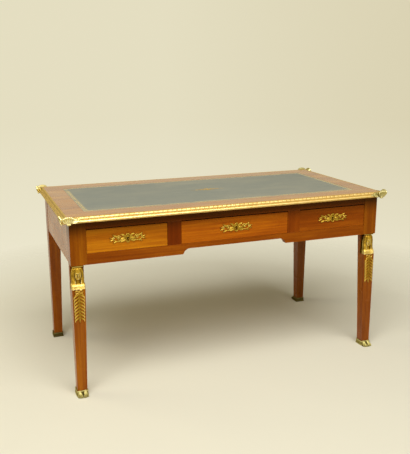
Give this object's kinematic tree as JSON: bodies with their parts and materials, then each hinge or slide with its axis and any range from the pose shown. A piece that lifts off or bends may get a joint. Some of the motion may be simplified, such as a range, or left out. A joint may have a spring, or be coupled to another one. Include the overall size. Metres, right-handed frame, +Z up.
{
  "type": "bureau plat writing desk",
  "caption": "Flat-topped mahogany writing desk with a leather top, frieze drawers with locks, square tapering legs and gilt bronze mounts.",
  "frame": {"origin": "floor, under the middle of the desk", "axes": "+X along the length to the sitter's right, +Y away from the sitter to the back, +Z up"},
  "size_m": [1.4956, 0.7656, 0.768],
  "materials": {
    "mahogany": "french polished",
    "oak": "waxed",
    "leather": "gilt-tooled",
    "gilt_bronze": "mercury-gilt, worn",
    "lock_brass": "filed",
    "bolt_steel": "bright"
  },
  "bodies": {
    "carcase": {"back_apron": "mahogany", "back_edge_moulding": "gilt_bronze", "back_left_corner_mount": "gilt_bronze", "back_left_leg": "mahogany", "back_left_sabot": "gilt_bronze", "back_right_corner_mount": "gilt_bronze", "back_right_leg": "mahogany", "back_right_sabot": "gilt_bronze", "drawer_stops": "oak", "front_edge_moulding": "gilt_bronze", "front_left_bust": "gilt_bronze", "front_left_corner_mount": "gilt_bronze", "front_left_leaf_drop": "gilt_bronze", "front_left_leg": "mahogany", "front_left_sabot": "gilt_bronze", "front_right_bust": "gilt_bronze", "front_right_corner_mount": "gilt_bronze", "front_right_leaf_drop": "gilt_bronze", "front_right_leg": "mahogany", "front_right_sabot": "gilt_bronze", "inner_kickers": "oak", "leather_panel": "leather", "left_divider_stile": "mahogany", "left_edge_moulding": "gilt_bronze", "left_inner_runner": "oak", "left_outer_runner": "oak", "left_side_apron": "mahogany", "lower_front_rail": "mahogany", "outer_kickers": "oak", "right_divider_stile": "mahogany", "right_edge_moulding": "gilt_bronze", "right_inner_runner": "oak", "right_outer_runner": "oak", "right_side_apron": "mahogany", "top_board": "mahogany", "upper_front_rail": "mahogany"},
    "left_drawer": {"left_drawer_back": "oak", "left_drawer_bottom": "oak", "left_drawer_escutcheon": "gilt_bronze", "left_drawer_front": "mahogany", "left_drawer_left_side": "oak", "left_drawer_lock_case": "lock_brass", "left_drawer_right_side": "oak"},
    "left_lock_bolt": {"left_drawer_lock_bolt": "bolt_steel"},
    "middle_drawer": {"middle_drawer_back": "oak", "middle_drawer_bottom": "oak", "middle_drawer_escutcheon": "gilt_bronze", "middle_drawer_front": "mahogany", "middle_drawer_left_side": "oak", "middle_drawer_lock_case": "lock_brass", "middle_drawer_right_side": "oak"},
    "middle_lock_bolt": {"middle_drawer_lock_bolt": "bolt_steel"},
    "right_drawer": {"right_drawer_back": "oak", "right_drawer_bottom": "oak", "right_drawer_escutcheon": "gilt_bronze", "right_drawer_front": "mahogany", "right_drawer_left_side": "oak", "right_drawer_lock_case": "lock_brass", "right_drawer_right_side": "oak"},
    "right_lock_bolt": {"right_drawer_lock_bolt": "bolt_steel"}
  },
  "joints": [
    {"name": "left_drawer_slide", "type": "slide", "parent": "carcase", "child": "left_drawer", "axis": [0, -1, 0], "range_m": [0, 0.42]},
    {"name": "left_bolt_slide", "type": "slide", "parent": "left_drawer", "child": "left_lock_bolt", "axis": [0, 0, 1], "range_m": [0, 0.009]},
    {"name": "middle_drawer_slide", "type": "slide", "parent": "carcase", "child": "middle_drawer", "axis": [0, -1, 0], "range_m": [0, 0.42]},
    {"name": "middle_bolt_slide", "type": "slide", "parent": "middle_drawer", "child": "middle_lock_bolt", "axis": [0, 0, 1], "range_m": [0, 0.009]},
    {"name": "right_drawer_slide", "type": "slide", "parent": "carcase", "child": "right_drawer", "axis": [0, -1, 0], "range_m": [0, 0.42]},
    {"name": "right_bolt_slide", "type": "slide", "parent": "right_drawer", "child": "right_lock_bolt", "axis": [0, 0, 1], "range_m": [0, 0.009]}
  ]
}
